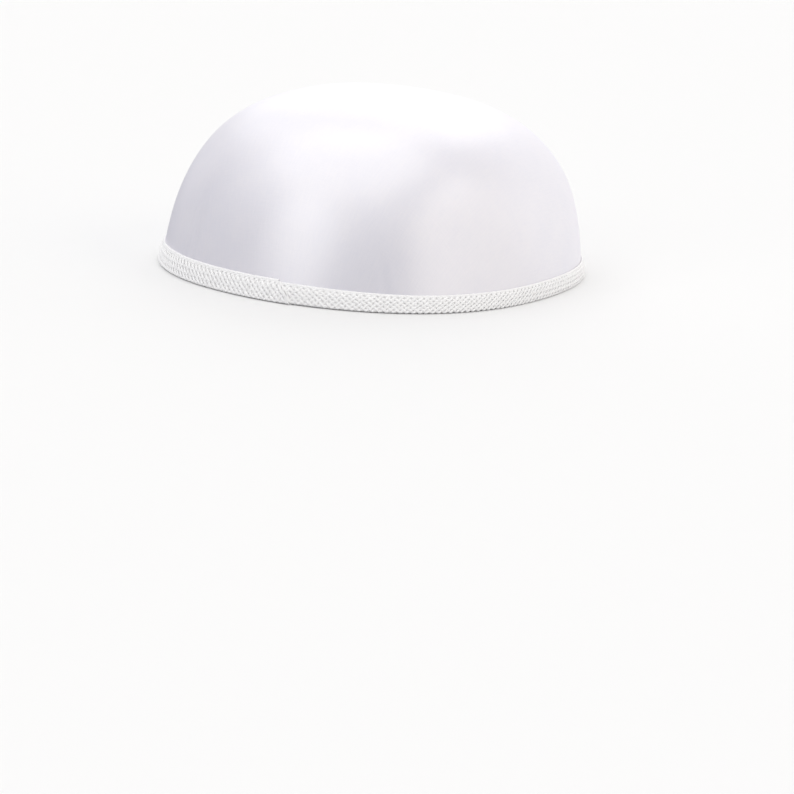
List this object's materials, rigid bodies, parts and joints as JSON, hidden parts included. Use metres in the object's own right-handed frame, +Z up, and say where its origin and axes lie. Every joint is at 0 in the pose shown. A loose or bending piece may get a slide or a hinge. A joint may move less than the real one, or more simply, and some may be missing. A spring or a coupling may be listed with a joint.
{
  "type": "skullcap",
  "caption": "Deep white satin skullcap, a one-piece blocked dome with its rim bound in a coarse bias-woven strip lapped at the front, open underneath for a head.",
  "frame": {"origin": "middle of the rim's underside, on the surface that the cap rests on", "axes": "+Z up through the crown, +Y to the back of the head, -Y to the front where the binding is joined, +X to the wearer's left"},
  "size_m": [0.1746, 0.1993, 0.0775],
  "materials": {
    "satin": "close white satin with a cool lavender shade and a soft directional gloss",
    "woven_binding": "matt neutral white open weave cut on the bias"
  },
  "bodies": {
    "root": {"crown": "satin", "edge_binding": "woven_binding"}
  },
  "joints": []
}
